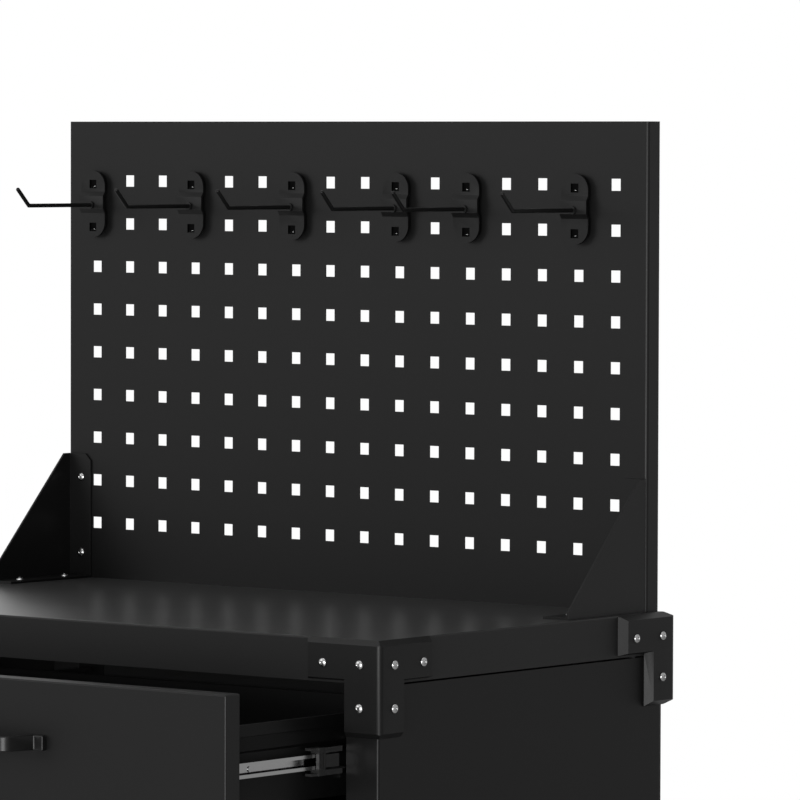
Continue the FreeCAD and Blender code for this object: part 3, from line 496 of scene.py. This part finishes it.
def panel_screw_centres():
    """Two screws up each gusset's rear flange, two along its foot and two along the panel's foot."""
    x, gusset_sheet, panel_sheet, foot_middle = 0.302, 0.002, 0.0012, 0.009
    right = [((x, panel_front - gusset_sheet, top_level + rise), (0, -1, 0)) for rise in (0.022, 0.0893)]
    right += [((x, panel_front - ahead, top_level + gusset_sheet), (0, 0, 1)) for ahead in (0.025, 0.084)]
    right += [((px, panel_front + foot_middle, top_level + panel_sheet), (0, 0, 1)) for px in (0.095, 0.225)]
    left = [((-px, py, pz), direction) for (px, py, pz), direction in right]
    return [place for place, _ in right + left], [direction for _, direction in right + left]


for node, (places, directions) in {"guard_screws": guard_screw_centres(),
                                   "panel_screws": panel_screw_centres()}.items():
    mesh = turned("turned_" + node, screw_line, places, directions, 36, finishes["screw_zinc"], socket_rings)
    standing_for(add_object("turned_" + node, mesh), node)
    print(node, len(places), "screws")

# %% [markdown]
# ## Wheels
# A caster wheel is a hard core with a softer tread bonded round it. The tread is crowned so that
# it rolls quietly, and a narrow lip shows where it meets the core. The core is dished between
# rim and hub. All of that is one line turned about the axle. Core and tread could be two pieces,
# but they are bonded, so one mesh with two finishes is closer to the real wheel.

# %% Wheels
core_finish = moulded("wheel_core", 0.05, 0.45, 0.3)
core_radius = 0.0402


def wheel_line():
    """Half the wheel's section from the bore out to the middle of the tread, then mirrored."""
    half = [(0.0041, 0.0188), (0.0110, 0.0189), (0.0118, 0.0180), (0.0124, 0.0080), (0.0150, 0.0060),
            (0.0300, 0.0052), (0.0335, 0.0064), (0.0345, 0.0128), (0.0352, 0.0138), (0.0396, 0.0140),
            (0.0401, 0.0134), (0.0404, 0.0142), (0.0412, 0.0157), (0.0440, 0.0160), (0.0466, 0.0152),
            (0.0484, 0.0134), (0.0494, 0.0105), (0.0498, 0.0065), (0.0500, 0.0)]
    return half + [(r, -d) for r, d in reversed(half[:-1])] + [(0.0041, 0.0188)]


for end in ("front", "rear"):
    for side in ("left", "right"):
        node = "wheel_%s_%s" % (end, side)
        low, high = (np.array(corner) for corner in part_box(node))
        centre = (low + high) / 2
        mesh = turned("turned_" + node, wheel_line(), [centre], [(0.0, 1.0, 0.0)], 96,
                      finishes["wheel_rubber"])
        mesh.materials.append(core_finish)
        places = np.empty(len(mesh.polygons) * 3)
        mesh.polygons.foreach_get("center", places)
        x, _, z = (places.reshape(-1, 3) - centre).T
        mesh.polygons.foreach_set("material_index", (np.hypot(x, z) < core_radius).astype(int))
        standing_for(add_object("turned_" + node, mesh), node)
print("turned 4 wheels")

# %% [markdown]
# ## Studio
# The cabinet stands on a plain pale floor. Black paint shows mostly what it mirrors, so the world
# is white for the camera and for mirrored rays, which gives the soft sheen of the photograph.
# For the rest it is dimmer, because a full white sky would wash out the shadows.

# %% Floor and world
floor_half = 3.0
floor_mesh = bpy.data.meshes.new("studio_floor")
floor_mesh.from_pydata([(-floor_half, -floor_half, 0), (floor_half, -floor_half, 0),
                        (floor_half, floor_half, 0), (-floor_half, floor_half, 0)], [], [(0, 1, 2, 3)])
floor_paint = Finish("studio_floor", Specular_IOR_Level=0.0)
floor_mesh.materials.append(floor_paint.surface(Base_Color=grey(0.93), Roughness=0.9))
floor = add_object("studio_floor", floor_mesh)

dim_sky, white_sky = 0.30, 1.0
world = bpy.data.worlds.new("studio")
bpy.context.scene.world = world
world.use_nodes = True
sky = world.node_tree
backdrop = sky.nodes["Background"]
path = sky.nodes.new("ShaderNodeLightPath")
seen = path.outputs["Is Camera Ray"]
for other in ("Is Glossy Ray", "Is Transmission Ray"):
    total = sky.nodes.new("ShaderNodeMath")
    total.operation = "ADD"
    total.use_clamp = True
    sky.links.new(seen, total.inputs[0])
    sky.links.new(path.outputs[other], total.inputs[1])
    seen = total.outputs["Value"]
strength = sky.nodes.new("ShaderNodeMapRange")
strength.inputs["To Min"].default_value = dim_sky
strength.inputs["To Max"].default_value = white_sky
sky.links.new(seen, strength.inputs["Value"])
sky.links.new(strength.outputs["Result"], backdrop.inputs["Strength"])
backdrop.inputs["Color"].default_value = (1.0, 1.0, 1.0, 1.0)
print("floor", 2 * floor_half, "m square, sky", dim_sky, "or", white_sky)

# %% [markdown]
# ## Lamps
# Three large soft lamps shape the folds. One hangs above. One stands at the front left, where the
# panel and the drawer fronts mirror it. One stands low by the camera, and its reflection is the
# bright band down every rounded corner. It is wide and low, so that the work top doesn't mirror
# it towards a viewer behind. Small lamps would leave hard dots instead of bands.

# %% Lamps
def soft_lamp(name, place, target, width, height, power):
    """Area lamp at place, facing target, both in metres."""
    data = bpy.data.lights.new(name, "AREA")
    data.shape = "RECTANGLE"
    data.size, data.size_y = width, height
    data.energy = power
    lamp = add_object(name, data)
    place, target = np.array(place), np.array(target)
    back = (place - target) / np.linalg.norm(place - target)
    side = np.cross((0.0, 0.0, 1.0), back)
    side = side / np.linalg.norm(side)
    up = np.cross(back, side)
    turn = np.eye(4)
    turn[:3, 0], turn[:3, 1], turn[:3, 2], turn[:3, 3] = side, up, back, place
    lamp.matrix_world = Matrix(turn.tolist())
    print(name, power, "W")


soft_lamp("lamp_above", (0.2, -0.5, 3.4), (0.0, 0.0, 0.7), 2.4, 2.4, 34.0)
soft_lamp("lamp_front_left", (-2.4, -2.8, 2.1), (0.0, 0.0, 0.8), 2.2, 2.2, 50.0)
soft_lamp("lamp_near_camera", (1.7, -3.4, 0.60), (0.0, 0.0, 0.60), 2.2, 1.1, 240.0)

# %% [markdown]
# ## Camera
# The camera stands where the photograph was taken from, to the front right and a little above the
# work top. Its place and angles were fitted to the rows of square holes and to the corners of
# the top, with a long lens. We turn them into a matrix ourselves, because three angles in
# degrees say more than a rotation read off a scene.

# %% Camera
def photo_camera(place, azimuth, elevation, roll, focal):
    """Camera at place that looks to azimuth (0 along +Y, 90 along -X) and down by elevation.

    The right, up and back directions are worked out from the two angles and turned by the roll.
    The focal length is given in widths of the picture.
    """
    a, e, r = (math.radians(v) for v in (azimuth, elevation, roll))
    ahead = np.array([-math.sin(a) * math.cos(e), math.cos(a) * math.cos(e), -math.sin(e)])
    right = np.array([math.cos(a), math.sin(a), 0.0])
    up = np.cross(right, ahead)
    right, up = math.cos(r) * right + math.sin(r) * up, math.cos(r) * up - math.sin(r) * right
    turn = np.eye(4)
    turn[:3, 0], turn[:3, 1], turn[:3, 2], turn[:3, 3] = right, up, -ahead, place
    data = bpy.data.cameras.new("camera")
    data.sensor_width = 36.0
    data.lens = focal * data.sensor_width
    data.clip_start, data.clip_end = 0.1, 200.0
    camera = add_object("camera", data)
    camera.matrix_world = Matrix(turn.tolist())
    bpy.context.scene.camera = camera
    print("camera", round(float(np.hypot(*place[:2])), 2), "m from the middle, lens", round(data.lens), "mm")


picture_width, focal_pixels = 800, 5861.9
photo_camera((3.15334, -3.66897, 1.07526), 38.2676, 2.4852, 0.1579, focal_pixels / picture_width)
bpy.context.scene.view_settings.view_transform = "Standard"
